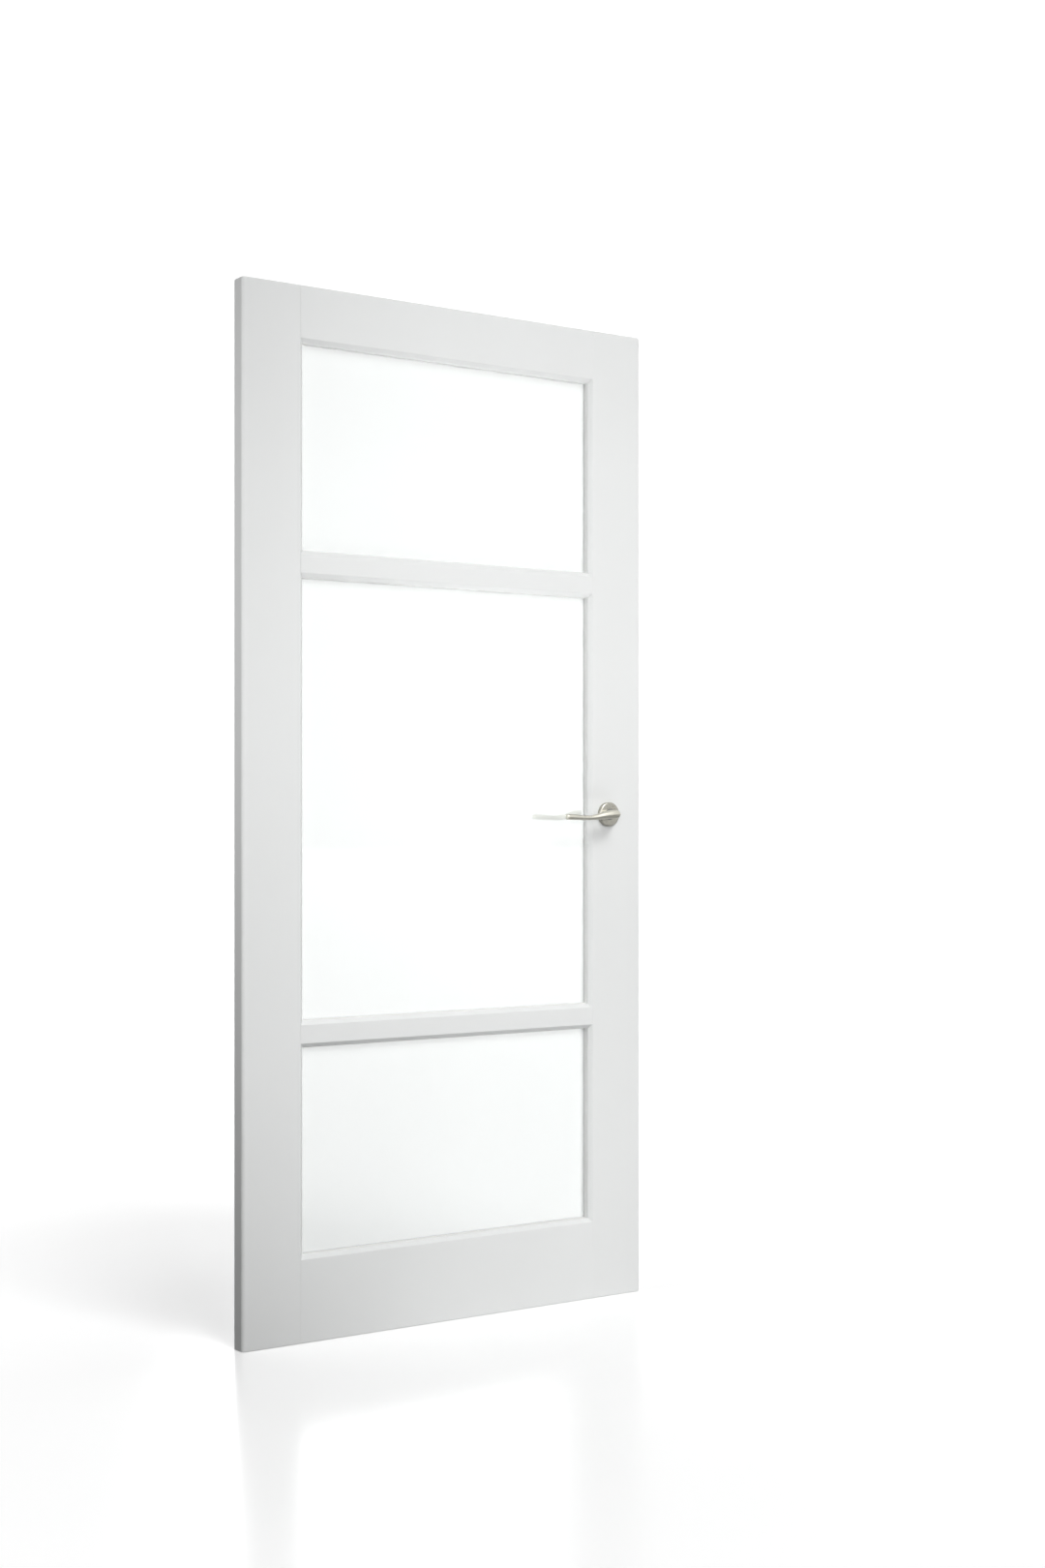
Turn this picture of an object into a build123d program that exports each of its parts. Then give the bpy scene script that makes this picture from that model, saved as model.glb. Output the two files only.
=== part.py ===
from build123d import *
import os
from math import cos, pi, sin

# Glazed interior door leaf with a lever handle set, in millimetres.
# X runs from the hinge edge to the lock edge, the front face looks along -Y, and Z is up.
# The origin is on the hinge edge, at the foot of the leaf and the middle of its thickness.

# Leaf
LEAF_WIDTH = 985.0
LEAF_HEIGHT = 2110.0
LEAF_THICKNESS = 40.0
SIDE_ARRIS = 8.0  # radius along the hinge and lock edges
TOP_ARRIS = 4.0  # radius round the top; the foot is cut square

# Frame members, each measured on its flat face
STILE_FACE = 130.0
TOP_RAIL_FACE = 106.0
BOTTOM_RAIL_FACE = 166.0
BAR_FACE = 37.0

# Sticking, the moulded edge round each pane
BEVEL = 8.0  # width and depth of the 45 degree bevel
REBATE_WIDTH = 12.0
GLASS_SETBACK = 18.0  # front face of the leaf to front face of the glass
OUTER_PANE_HEIGHT = 415.0  # sight height of the top pane and of the bottom pane

# Glass
GLASS_THICKNESS = 4.0
GLASS_EDGE_GAP = 3.0  # between the glass and the wall of its rebate

# Latch
BACKSET = 90.0  # lock edge to spindle
SPINDLE_HEIGHT = 1055.0  # foot of the leaf to spindle
SPINDLE_SIDE = 8.0
CASE_HEIGHT = 165.0
CASE_THICKNESS = 16.0
CASE_BEHIND_SPINDLE = 22.0  # spindle to the far wall of the case
CASE_CENTRE_DROP = 30.0  # centre of the case below the spindle
MORTISE_GAP = 0.5  # round the case
FACEPLATE_HEIGHT = 235.0
FACEPLATE_WIDTH = 20.0
FACEPLATE_THICKNESS = 3.0
FOLLOWER_DIAMETER = 22.0
BOLT_DROP = 62.0  # middle of the bolt below the spindle
BOLT_HEIGHT = 30.0
BOLT_THICKNESS = 12.0
BOLT_THROW = 11.0  # how far the bolt stands out of the lock edge
BOLT_NOSE = 3.0  # thickness left at the tip of the slanted bolt
BOLT_TAIL = 30.0  # how far the bolt reaches into the case
BOLT_GAP = 0.25  # round the bolt
SCREW_SPACING = 215.0
SCREW_HEAD_DIAMETER = 8.0
SCREW_SHANK_DIAMETER = 4.0
SCREW_LENGTH = 30.0
BORE_DIAMETER = 18.0  # clearance hole for the spindle, through the stile

# Lever handles
ROSE_DIAMETER = 53.0
ROSE_THICKNESS = 9.0
ROSE_ROUND = 3.0  # radius of the rose's front edge
ROSE_SKIN = 1.5
ROSE_PLATE_GAP = 0.5  # between the plate and the inside of the rose
BEARING_WALL = 2.0
BEARING_PROUD = 1.0  # how far the bearing ring stands out of the rose
RUNNING_GAP = 0.08  # radial gap of each turning fit
NECK_DIAMETER = 19.0
NECK_END_GAP = 0.5  # neck to the face of the leaf
ELBOW_RADIUS = 15.0  # on the centre line
LEVER_STANDOFF = 42.0  # face of the leaf to the grip's centre line
LEVER_REACH = 141.0  # spindle to the tip
WAIST_DISTANCE = 85.0  # spindle to the grip's waist
GRIP_DROP = 7.5  # waist below the spindle
TIP_RISE = 2.0  # tip above the waist
WAIST_HEIGHT = 10.0
WAIST_DEPTH = 12.0
TIP_HEIGHT = 12.5
TIP_DEPTH = 13.0
TIP_ROUND = 3.0
GRIP_STATIONS = 6  # sections from the elbow to the waist
TIP_STATIONS = 4  # sections from the waist to where the tip's edge starts to round
TIP_STEPS = 3  # sections round the edge of the tip
SPINDLE_SOCKET = 24.0  # how far the spindle goes into each neck

# Places worked out from the sizes
FRONT = -LEAF_THICKNESS / 2
BACK = LEAF_THICKNESS / 2
GLASS_FRONT = FRONT + GLASS_SETBACK
GLASS_BACK = GLASS_FRONT + GLASS_THICKNESS
LEFT_SIGHT = STILE_FACE + BEVEL
RIGHT_SIGHT = LEAF_WIDTH - LEFT_SIGHT
TOP_SIGHT = LEAF_HEIGHT - TOP_RAIL_FACE - BEVEL
FOOT_SIGHT = BOTTOM_RAIL_FACE + BEVEL
BAR_HALF = BAR_FACE / 2 + BEVEL
UPPER_BAR_Z = TOP_SIGHT - OUTER_PANE_HEIGHT - BAR_HALF
LOWER_BAR_Z = FOOT_SIGHT + OUTER_PANE_HEIGHT + BAR_HALF
SPINDLE_X = LEAF_WIDTH - BACKSET
CASE_FRONT_X = LEAF_WIDTH - FACEPLATE_THICKNESS
CASE_BACK_X = SPINDLE_X - CASE_BEHIND_SPINDLE
CASE_Z = SPINDLE_HEIGHT - CASE_CENTRE_DROP
NECK_RADIUS = NECK_DIAMETER / 2
BEARING_BORE = NECK_RADIUS + RUNNING_GAP
BEARING_RADIUS = BEARING_BORE + BEARING_WALL
PANES = {
    "upper": (UPPER_BAR_Z + BAR_HALF, TOP_SIGHT),
    "middle": (LOWER_BAR_Z + BAR_HALF, UPPER_BAR_Z - BAR_HALF),
    "lower": (FOOT_SIGHT, LOWER_BAR_Z - BAR_HALF),
}


def block(x0, x1, y0, y1, z0, z1):
    """A box between two corners."""
    return Pos(x0, y0, z0) * Box(x1 - x0, y1 - y0, z1 - z0, align=(Align.MIN,) * 3)


def about_spindle(y0, y1, radius):
    """A cylinder round the spindle's axis, between two places along Y."""
    centre = Pos(SPINDLE_X, (y0 + y1) / 2, SPINDLE_HEIGHT)
    return centre * Rot(90, 0, 0) * Cylinder(radius, y1 - y0)


def prism(points, direction, length):
    """A flat outline pushed out along a direction."""
    return extrude(make_face(Polyline(*points, close=True)), length, dir=direction)


def leaf_blank():
    """The whole leaf with its sides and top rounded, from which every frame member is cut."""
    plan = Pos(LEAF_WIDTH / 2, 0) * RectangleRounded(LEAF_WIDTH, LEAF_THICKNESS, SIDE_ARRIS)
    blank = extrude(plan, LEAF_HEIGHT)
    return fillet(blank.faces().sort_by(Axis.Z)[-1].edges(), TOP_ARRIS)


def member_outline(sight):
    """Section of a stile or rail as (distance from its outer edge, y)."""
    rebate = sight - REBATE_WIDTH
    return [
        (0, FRONT),
        (sight - BEVEL, FRONT),
        (sight, FRONT + BEVEL),
        (sight, GLASS_FRONT),
        (rebate, GLASS_FRONT),
        (rebate, BACK),
        (0, BACK),
    ]


def bar_outline():
    """Section of a glazing bar as (distance from its middle, y), moulded on both edges."""
    upper = member_outline(BAR_HALF)[1:-1]
    return upper + [(-d, y) for d, y in reversed(upper)]


def stile(place):
    """A stile at full height; place turns a distance from its outer edge into x."""
    outline = [(place(d), y, 0) for d, y in member_outline(LEFT_SIGHT)]
    return prism(outline, (0, 0, 1), LEAF_HEIGHT) & BLANK


def rail(outline, place, stiles):
    """A rail or bar between the stiles, its ends scribed over their sticking."""
    x0, x1 = LEFT_SIGHT - REBATE_WIDTH, RIGHT_SIGHT + REBATE_WIDTH
    run = prism([(x0, y, place(d)) for d, y in outline], (1, 0, 0), x1 - x0)
    return (run & BLANK) - stiles


def pane(z0, z1):
    """A sheet of glass, held in the rebates round one sight opening."""
    lap = REBATE_WIDTH - GLASS_EDGE_GAP
    return block(LEFT_SIGHT - lap, RIGHT_SIGHT + lap, GLASS_FRONT, GLASS_BACK, z0 - lap, z1 + lap)


def bead(start, end, outward):
    """A glazing bead behind one side of a pane, mitred at both ends."""
    along = (end - start).normalized()
    corners = [
        start,
        end,
        end + (outward + along) * REBATE_WIDTH,
        start + (outward - along) * REBATE_WIDTH,
    ]
    plan = [corner + Vector(0, GLASS_BACK, 0) for corner in corners]
    outline = [
        (0, GLASS_BACK),
        (REBATE_WIDTH, GLASS_BACK),
        (REBATE_WIDTH, BACK),
        (BEVEL, BACK),
        (0, BACK - BEVEL),
    ]
    foot = start - along * REBATE_WIDTH
    section = [foot + outward * d + Vector(0, y, 0) for d, y in outline]
    length = (end - start).length + 2 * REBATE_WIDTH
    return prism(plan, (0, 1, 0), BACK - GLASS_BACK) & prism(section, along, length)


def beads(z0, z1):
    """The four beads of one pane."""
    low_left, low_right = Vector(LEFT_SIGHT, 0, z0), Vector(RIGHT_SIGHT, 0, z0)
    top_left, top_right = Vector(LEFT_SIGHT, 0, z1), Vector(RIGHT_SIGHT, 0, z1)
    return {
        "bottom": bead(low_left, low_right, Vector(0, 0, -1)),
        "top": bead(top_left, top_right, Vector(0, 0, 1)),
        "left": bead(low_left, top_left, Vector(-1, 0, 0)),
        "right": bead(low_right, top_right, Vector(1, 0, 0)),
    }


def faceplate_slot(depth):
    """The faceplate's outline with its round ends, sunk into the lock edge."""
    outline = Rot(0, 0, 90) * SlotOverall(FACEPLATE_HEIGHT, FACEPLATE_WIDTH)
    face_plane = Plane(origin=(LEAF_WIDTH, 0, CASE_Z), x_dir=(0, 1, 0), z_dir=(1, 0, 0))
    return extrude(face_plane * outline, -depth)


def latch_bolt():
    """The sprung bolt, slanted on the side that meets the strike first."""
    half = BOLT_THICKNESS / 2
    tail, tip = CASE_FRONT_X - BOLT_TAIL, LEAF_WIDTH + BOLT_THROW
    outline = [(tail, -half), (LEAF_WIDTH, -half), (tip, half - BOLT_NOSE), (tip, half), (tail, half)]
    foot = SPINDLE_HEIGHT - BOLT_DROP - BOLT_HEIGHT / 2
    return prism([(x, y, foot) for x, y in outline], (0, 0, 1), BOLT_HEIGHT)


def bolt_window(x0, x1):
    """The hole that the bolt slides through."""
    half_y = BOLT_THICKNESS / 2 + BOLT_GAP
    half_z = BOLT_HEIGHT / 2 + BOLT_GAP
    middle = SPINDLE_HEIGHT - BOLT_DROP
    return block(x0, x1, -half_y, half_y, middle - half_z, middle + half_z)


def faceplate_screws():
    """Two countersunk screws, their heads flush with the faceplate."""
    head, shank = SCREW_HEAD_DIAMETER / 2, SCREW_SHANK_DIAMETER / 2
    outline = [(0, 0), (head, 0), (shank, shank - head), (shank, -SCREW_LENGTH), (0, -SCREW_LENGTH)]
    screws = []
    for side in (-1, 1):
        z = CASE_Z + side * SCREW_SPACING / 2
        section = make_face(Polyline(*[(LEAF_WIDTH + u, r, z) for r, u in outline], close=True))
        screws.append(revolve(section, Axis((LEAF_WIDTH, 0, z), (1, 0, 0))))
    return screws


def rose():
    """The pressed cover on the front of the leaf, with a hole for the bearing ring."""
    top = FRONT - ROSE_THICKNESS
    cover = about_spindle(top, FRONT, ROSE_DIAMETER / 2)
    cover = fillet(cover.edges().sort_by(Axis.Y)[0], ROSE_ROUND)
    hollow = about_spindle(top + ROSE_SKIN, FRONT, ROSE_DIAMETER / 2 - ROSE_SKIN)
    hollow = chamfer(hollow.edges().sort_by(Axis.Y)[0], ROSE_ROUND - ROSE_SKIN)
    return cover - hollow - about_spindle(top, FRONT, BEARING_RADIUS)


def rose_plate():
    """The plate inside the rose, which carries the bearing ring."""
    top = FRONT - ROSE_THICKNESS + ROSE_SKIN + ROSE_PLATE_GAP
    radius = ROSE_DIAMETER / 2 - ROSE_SKIN - ROSE_PLATE_GAP
    plate = about_spindle(top, FRONT, radius)
    plate = chamfer(plate.edges().sort_by(Axis.Y)[0], ROSE_ROUND - ROSE_SKIN)
    return plate - about_spindle(top, FRONT, BEARING_RADIUS)


def bearing():
    """The ring that the lever's neck turns in."""
    top = FRONT - ROSE_THICKNESS - BEARING_PROUD
    return about_spindle(top, FRONT, BEARING_RADIUS) - about_spindle(top, FRONT, BEARING_BORE)


def blend(share):
    """Smooth step from 0 to 1."""
    return (1 - cos(pi * share)) / 2


def spread(start, end, steps):
    """Evenly spaced places from start to end, both included."""
    return [start + (end - start) * i / steps for i in range(steps + 1)]


def grip_section(distance, inset=0.0):
    """The oval section of the lever at a distance from the spindle, made smaller by an inset."""
    if distance <= WAIST_DISTANCE:
        share = blend((distance - ELBOW_RADIUS) / (WAIST_DISTANCE - ELBOW_RADIUS))
        height = NECK_DIAMETER + (WAIST_HEIGHT - NECK_DIAMETER) * share
        depth = NECK_DIAMETER + (WAIST_DEPTH - NECK_DIAMETER) * share
        drop = GRIP_DROP * share
    else:
        share = blend((distance - WAIST_DISTANCE) / (LEVER_REACH - WAIST_DISTANCE))
        height = WAIST_HEIGHT + (TIP_HEIGHT - WAIST_HEIGHT) * share
        depth = WAIST_DEPTH + (TIP_DEPTH - WAIST_DEPTH) * share
        drop = GRIP_DROP - TIP_RISE * share
    centre = (SPINDLE_X - distance, FRONT - LEVER_STANDOFF, SPINDLE_HEIGHT - drop)
    across = Plane(origin=centre, x_dir=(0, 1, 0), z_dir=(-1, 0, 0))
    return across * Ellipse(depth / 2 - inset, height / 2 - inset)


def lever():
    """The front lever: neck, elbow and a grip that narrows to a waist and swells at its tip."""
    elbow_y = FRONT - LEVER_STANDOFF + ELBOW_RADIUS
    neck = about_spindle(elbow_y, FRONT - NECK_END_GAP, NECK_RADIUS)
    end = Plane(origin=(SPINDLE_X, elbow_y, SPINDLE_HEIGHT), x_dir=(1, 0, 0), z_dir=(0, -1, 0))
    turn = Axis((SPINDLE_X - ELBOW_RADIUS, elbow_y, SPINDLE_HEIGHT), (0, 0, -1))
    elbow = revolve(end * Circle(NECK_RADIUS), turn, 90)
    rounding_start = LEVER_REACH - TIP_ROUND
    stations = spread(ELBOW_RADIUS, WAIST_DISTANCE, GRIP_STATIONS)
    stations += spread(WAIST_DISTANCE, rounding_start, TIP_STATIONS)[1:]
    sections = [grip_section(distance) for distance in stations]
    for angle in spread(0, pi / 2, TIP_STEPS)[1:]:
        distance = rounding_start + TIP_ROUND * sin(angle)
        sections.append(grip_section(distance, TIP_ROUND * (1 - cos(angle))))
    return neck + elbow + loft(sections, ruled=True) - spindle()


def spindle():
    """The square bar that joins the two levers through the latch."""
    half = SPINDLE_SIDE / 2
    end = BACK + NECK_END_GAP + SPINDLE_SOCKET
    return block(
        SPINDLE_X - half, SPINDLE_X + half, -end, end, SPINDLE_HEIGHT - half, SPINDLE_HEIGHT + half
    )


def follower():
    """The hub in the latch case that the spindle turns."""
    half = CASE_THICKNESS / 2
    return about_spindle(-half, half, FOLLOWER_DIAMETER / 2) - spindle()


def latch_case():
    """The latch's case, closed round the bolt's tail and the follower."""
    half = CASE_THICKNESS / 2
    case = block(CASE_BACK_X, CASE_FRONT_X, -half, half, CASE_Z - CASE_HEIGHT / 2, CASE_Z + CASE_HEIGHT / 2)
    case -= about_spindle(-half, half, FOLLOWER_DIAMETER / 2 + RUNNING_GAP)
    return case - bolt_window(CASE_FRONT_X - BOLT_TAIL - BOLT_GAP, CASE_FRONT_X)


def mortise():
    """What is cut from the lock stile for the latch, its faceplate and the spindle."""
    half = CASE_THICKNESS / 2 + MORTISE_GAP
    reach = CASE_HEIGHT / 2 + MORTISE_GAP
    pocket = block(CASE_BACK_X - MORTISE_GAP, CASE_FRONT_X, -half, half, CASE_Z - reach, CASE_Z + reach)
    return pocket + faceplate_slot(FACEPLATE_THICKNESS) + about_spindle(FRONT, BACK, BORE_DIAMETER / 2)


BLANK = leaf_blank()

screws = faceplate_screws()
hinge_stile = stile(lambda d: d)
lock_stile = stile(lambda d: LEAF_WIDTH - d)
stiles = hinge_stile + lock_stile
pieces = {
    "hinge_stile": hinge_stile,
    "lock_stile": lock_stile - mortise() - screws,
    "top_rail": rail(member_outline(LEAF_HEIGHT - TOP_SIGHT), lambda d: LEAF_HEIGHT - d, stiles),
    "upper_glazing_bar": rail(bar_outline(), lambda d: UPPER_BAR_Z + d, stiles),
    "lower_glazing_bar": rail(bar_outline(), lambda d: LOWER_BAR_Z + d, stiles),
    "bottom_rail": rail(member_outline(FOOT_SIGHT), lambda d: d, stiles),
    "lock_faceplate": faceplate_slot(FACEPLATE_THICKNESS) - bolt_window(CASE_FRONT_X, LEAF_WIDTH) - screws,
    "faceplate_screws": Compound(children=screws),
    "latch_bolt": latch_bolt(),
    "latch_case": latch_case(),
    "latch_follower": follower(),
    "spindle": spindle(),
}
for name, (z0, z1) in PANES.items():
    pieces[f"{name}_glass"] = pane(z0, z1)
    for side, strip in beads(z0, z1).items():
        pieces[f"{name}_bead_{side}"] = strip
handles = {"rose": rose(), "rose_plate": rose_plate(), "bearing": bearing(), "lever": lever()}
for name, piece in handles.items():
    pieces[f"front_{name}"] = piece
    pieces[f"back_{name}"] = mirror(piece, Plane.XZ)

os.makedirs("parts", exist_ok=True)
for name, piece in pieces.items():
    export_step(piece, f"parts/{name}.step")
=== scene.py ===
import functools
import math

import bmesh
import bpy
from bmesh.types import BMEdge, BMVert
from bpy.props import FloatProperty, FloatVectorProperty, PointerProperty
from mathutils import Matrix, Vector


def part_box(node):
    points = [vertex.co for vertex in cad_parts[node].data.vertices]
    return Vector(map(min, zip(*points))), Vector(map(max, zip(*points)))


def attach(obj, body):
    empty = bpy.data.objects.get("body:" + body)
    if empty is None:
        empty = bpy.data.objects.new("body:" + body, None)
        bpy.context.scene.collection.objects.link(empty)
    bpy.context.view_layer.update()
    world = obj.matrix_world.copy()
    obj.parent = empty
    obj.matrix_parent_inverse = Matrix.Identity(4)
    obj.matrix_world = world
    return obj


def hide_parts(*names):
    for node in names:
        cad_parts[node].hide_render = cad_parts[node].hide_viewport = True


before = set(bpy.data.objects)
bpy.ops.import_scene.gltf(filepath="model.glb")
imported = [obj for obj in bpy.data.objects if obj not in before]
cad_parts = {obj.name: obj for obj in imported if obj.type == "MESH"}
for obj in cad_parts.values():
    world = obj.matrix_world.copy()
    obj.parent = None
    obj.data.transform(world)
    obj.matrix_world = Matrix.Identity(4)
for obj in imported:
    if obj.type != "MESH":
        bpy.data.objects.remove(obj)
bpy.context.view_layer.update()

bl_info = {
    "name": "Glazed interior door",
    "version": (1, 0, 0),
    "blender": (4, 5, 0),
    "location": "3D View > Sidebar > Door",
    "description": "Painted frame, glass, glazing beads, latch and lever handles of a door leaf",
    "category": "Add Mesh",
}

# Places that the frame gives, in metres
PANES = ("upper", "middle", "lower")
MEMBERS = ("top_rail", "upper_glazing_bar", "lower_glazing_bar", "bottom_rail")
LEAF_LOW, LEAF_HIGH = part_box("hinge_stile")
LOCK_LOW, LOCK_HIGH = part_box("lock_stile")
FRONT, BACK = LEAF_LOW.y, LEAF_HIGH.y
TOP = LEAF_HIGH.z
LOCK_EDGE = LOCK_HIGH.x
LEFT_SIGHT, RIGHT_SIGHT = LEAF_HIGH.x, LOCK_LOW.x
GLASS_FRONT, GLASS_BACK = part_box("upper_glass")[0].y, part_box("upper_glass")[1].y
REBATE = LEFT_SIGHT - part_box("top_rail")[0].x
SPINDLE = (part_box("spindle")[0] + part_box("spindle")[1]) / 2
# The sign turns the places of the front handle into those of the back one
HANDLES = {"front": 1.0, "back": -1.0}
RIGHT_ANGLE = math.radians(90)
# Faces that meet at more than this are eased
SHARP = math.radians(40)
# Closer than this, two places count as the same, and closer than MERGE, two vertices are joined
NEAR = 1e-5
MERGE = 1e-6
# Radius and height of a filled pin head, from its buried end to its crown
PIN_PROFILE = ((0.0, -0.0004), (0.0008, -0.0004), (0.0009, 0.0), (0.0006, 0.00012), (0.0, 0.00015))
# The round ends of the faceplate and of its recess
END_FLAT = 0.0001
END_SEGMENTS = 8

# Kinds of setting that several groups share
Colour = functools.partial(FloatVectorProperty, subtype="COLOR", size=3, min=0.0, max=1.0)
Factor = functools.partial(FloatProperty, subtype="FACTOR", min=0.0, max=1.0)
Length = functools.partial(FloatProperty, unit="LENGTH")
Power = functools.partial(FloatProperty, min=0.0, max=200.0)


class DoorPaintSettings(bpy.types.PropertyGroup):
    """Painted timber of the frame and the glazing beads."""

    colour: Colour(
        name="Paint colour",
        description="Colour of the satin paint",
        default=(0.80, 0.81, 0.805),
    )
    roughness: Factor(
        name="Paint roughness",
        description="Mean roughness of the satin paint",
        default=0.36,
    )
    side_arris: Length(
        name="Side arris",
        description="Radius along the hinge edge and the lock edge",
        min=0.001, max=0.009, default=0.008,
    )
    top_arris: Length(
        name="Top arris",
        description="Radius round the top edge",
        min=0.0005, max=0.006, default=0.004,
    )
    softness: Length(
        name="Edge softness",
        description="Radius that sanding and paint leave on every other edge",
        min=0.0001, max=0.0015, default=0.001,
    )
    bevel: Length(
        name="Sticking bevel",
        description="Width of the bevel round each pane, as in the frame",
        min=0.004, max=0.012, default=0.008,
    )
    pin_spacing: Length(
        name="Pin spacing",
        description="Largest distance between the pins of a glazing bead",
        min=0.05, max=0.4, default=0.15,
    )


class DoorGlassSettings(bpy.types.PropertyGroup):
    """Glass and the sealant round it."""

    colour: Colour(
        name="Glass colour",
        description="What one face of the glass lets through",
        default=(0.975, 0.99, 0.985),
    )
    ior: FloatProperty(
        name="Refractive index",
        description="Sets how strongly the glass reflects",
        min=1.0, max=2.0, default=1.5,
    )
    arris: Length(
        name="Glass arris",
        description="Width of the ground edge of each pane",
        min=0.0001, max=0.0015, default=0.0005,
    )
    seal: Length(
        name="Sealant width",
        description="Width of the sealant fillet where glass meets timber",
        min=0.0003, max=0.004, default=0.0016,
    )


class DoorHandleSettings(bpy.types.PropertyGroup):
    """Levers, roses and the latch in the lock edge."""

    colour: Colour(
        name="Nickel colour",
        description="Colour of the satin nickel plate",
        default=(0.56, 0.545, 0.48),
    )
    roughness: Factor(
        name="Nickel roughness",
        description="Mean roughness of the satin nickel plate",
        default=0.3,
    )
    neck_diameter: Length(
        name="Neck diameter",
        description="Diameter of the lever where it leaves the rose",
        min=0.012, max=0.026, default=0.019,
    )
    elbow_radius: Length(
        name="Elbow radius",
        description="Radius of the lever's elbow on its centre line",
        min=0.012, max=0.03, default=0.015,
    )
    waist_distance: Length(
        name="Waist distance",
        description="Distance from the spindle to the narrowest place of the grip",
        min=0.05, max=0.12, default=0.085,
    )
    waist_height: Length(
        name="Waist height",
        description="Height of the grip at its waist",
        min=0.006, max=0.019, default=0.010,
    )
    waist_depth: Length(
        name="Waist depth",
        description="Depth of the grip at its waist",
        min=0.006, max=0.019, default=0.012,
    )
    tip_height: Length(
        name="Tip height",
        description="Height of the grip near its tip",
        min=0.006, max=0.019, default=0.0125,
    )
    tip_depth: Length(
        name="Tip depth",
        description="Depth of the grip near its tip",
        min=0.006, max=0.019, default=0.013,
    )
    drop: Length(
        name="Grip drop",
        description="How far the waist lies below the spindle",
        min=0.0, max=0.015, default=0.0075,
    )
    tip_rise: Length(
        name="Tip rise",
        description="How far the tip comes up again from the waist",
        min=0.0, max=0.01, default=0.002,
    )
    tip_round: Length(
        name="Tip rounding",
        description="Radius of the edge of the tip",
        min=0.001, max=0.005, default=0.003,
    )
    rose_round: Length(
        name="Rose edge",
        description="Radius of the front edge of the rose",
        min=0.0005, max=0.004, default=0.003,
    )
    rose_skin: Length(
        name="Rose sheet",
        description="Thickness of the pressed rose",
        min=0.0005, max=0.003, default=0.0015,
    )


class DoorStageSettings(bpy.types.PropertyGroup):
    """Floor, light and camera."""

    floor_colour: Colour(
        name="Floor colour",
        description="Colour of the plain floor",
        default=(0.9, 0.9, 0.9),
    )
    # Painted glow of the floor, which is no lamp; near the leaf it is weaker, as a painted shadow
    floor_glow: FloatProperty(
        name="Floor glow",
        description="How much brighter than its light the floor is seen, as in an overexposed studio",
        min=0.0, max=1.0, default=0.4,
    )
    sky: FloatProperty(
        name="Ambient light",
        description="Strength of the light from all round",
        min=0.0, max=4.0, default=0.07,
    )
    backdrop: FloatProperty(
        name="Backdrop",
        description="How bright the empty background is seen, a little over white",
        min=0.0, max=4.0, default=1.12,
    )
    main_light: FloatProperty(
        name="Main light",
        description="Strength of the soft light from high in front",
        min=0.0, max=10.0, default=1.84,
    )
    right_power: Power(
        name="Right soft box",
        description="Power of the soft box in front of the leaf on the lock side, in watts",
        default=4.9,
    )
    left_power: Power(
        name="Left soft box",
        description="Power of the soft box in front of the leaf on the hinge side, in watts",
        default=1.15,
    )
    low_power: Power(
        name="Low soft box",
        description="Power of the soft box on the floor that lights the undersides, in watts",
        default=1.05,
    )
    edge_power: Power(
        name="Edge soft box",
        description="Power of the soft box beside the hinge edge, in watts",
        default=4.15,
    )
    back_power: Power(
        name="Back soft box",
        description="Power of the soft box behind the leaf, in watts",
        default=3.6,
    )
    reveal_power: Power(
        name="Reveal soft box",
        description="Power of the soft box behind the panes that lights their reveals, in watts",
        default=1.15,
    )
    head_power: Power(
        name="Head soft box",
        description="Power of the soft box behind the foot that lights the undersides, in watts",
        default=3.3,
    )
    lens: FloatProperty(
        name="Lens",
        description="Focal length of the camera, in millimetres",
        min=10.0, max=200.0, default=50.2,
    )


# Meshes


def new_object(name, data):
    """An object in the scene for a mesh, a light or a camera."""
    item = bpy.data.objects.new(name, data)
    bpy.context.scene.collection.objects.link(item)
    return item


def new_piece(name, bm, body, material, stands_for=(), smooth_angle=32.0):
    """Turns a finished bmesh into a piece that rides on a body."""
    bmesh.ops.recalc_face_normals(bm, faces=bm.faces)
    mesh = bpy.data.meshes.new(name)
    bm.to_mesh(mesh)
    bm.free()
    mesh.polygons.foreach_set("use_smooth", [True] * len(mesh.polygons))
    mesh.set_sharp_from_angle(angle=math.radians(smooth_angle))
    mesh.materials.append(material)
    piece = new_object(name, mesh)
    weighted = piece.modifiers.new("Even shading", "WEIGHTED_NORMAL")
    weighted.keep_sharp = True
    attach(piece, body)
    if stands_for:
        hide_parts(*stands_for)
    return piece


def pick(geometry, kind):
    """The items of one kind among what an operator returns."""
    return [item for item in geometry if isinstance(item, kind)]


def extrude_faces(bm, faces, offset):
    """Extrudes a region of faces and moves the new end; in a larger shell the old faces go."""
    touching = {face for old in faces for edge in old.edges for face in edge.link_faces}
    grown = bmesh.ops.extrude_face_region(bm, geom=faces)["geom"]
    if touching - set(faces):
        bmesh.ops.delete(bm, geom=[face for face in faces if face.is_valid], context="FACES")
    verts = pick(grown, BMVert)
    bmesh.ops.translate(bm, verts=verts, vec=offset)
    return verts


def extrude_edges(bm, edges, matrix):
    """Extrudes a loop of edges, moves the new loop by a matrix and returns its edges."""
    grown = bmesh.ops.extrude_edge_only(bm, edges=edges)["geom"]
    bmesh.ops.transform(bm, matrix=matrix, verts=pick(grown, BMVert))
    return pick(grown, BMEdge)


def edges_round(verts):
    """The edges that the vertices of a circle lie on."""
    return list(dict.fromkeys(edge for vert in verts for edge in vert.link_edges))


def round_off(bm, geometry, width, segments, affect="EDGES"):
    """Rounds edges, or the corners of a flat face, with a circular bevel."""
    bmesh.ops.bevel(
        bm,
        geom=geometry,
        offset=width,
        offset_type="OFFSET",
        segments=segments,
        profile=0.5,
        affect=affect,
        material=-1,
        clamp_overlap=False,
    )


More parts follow.
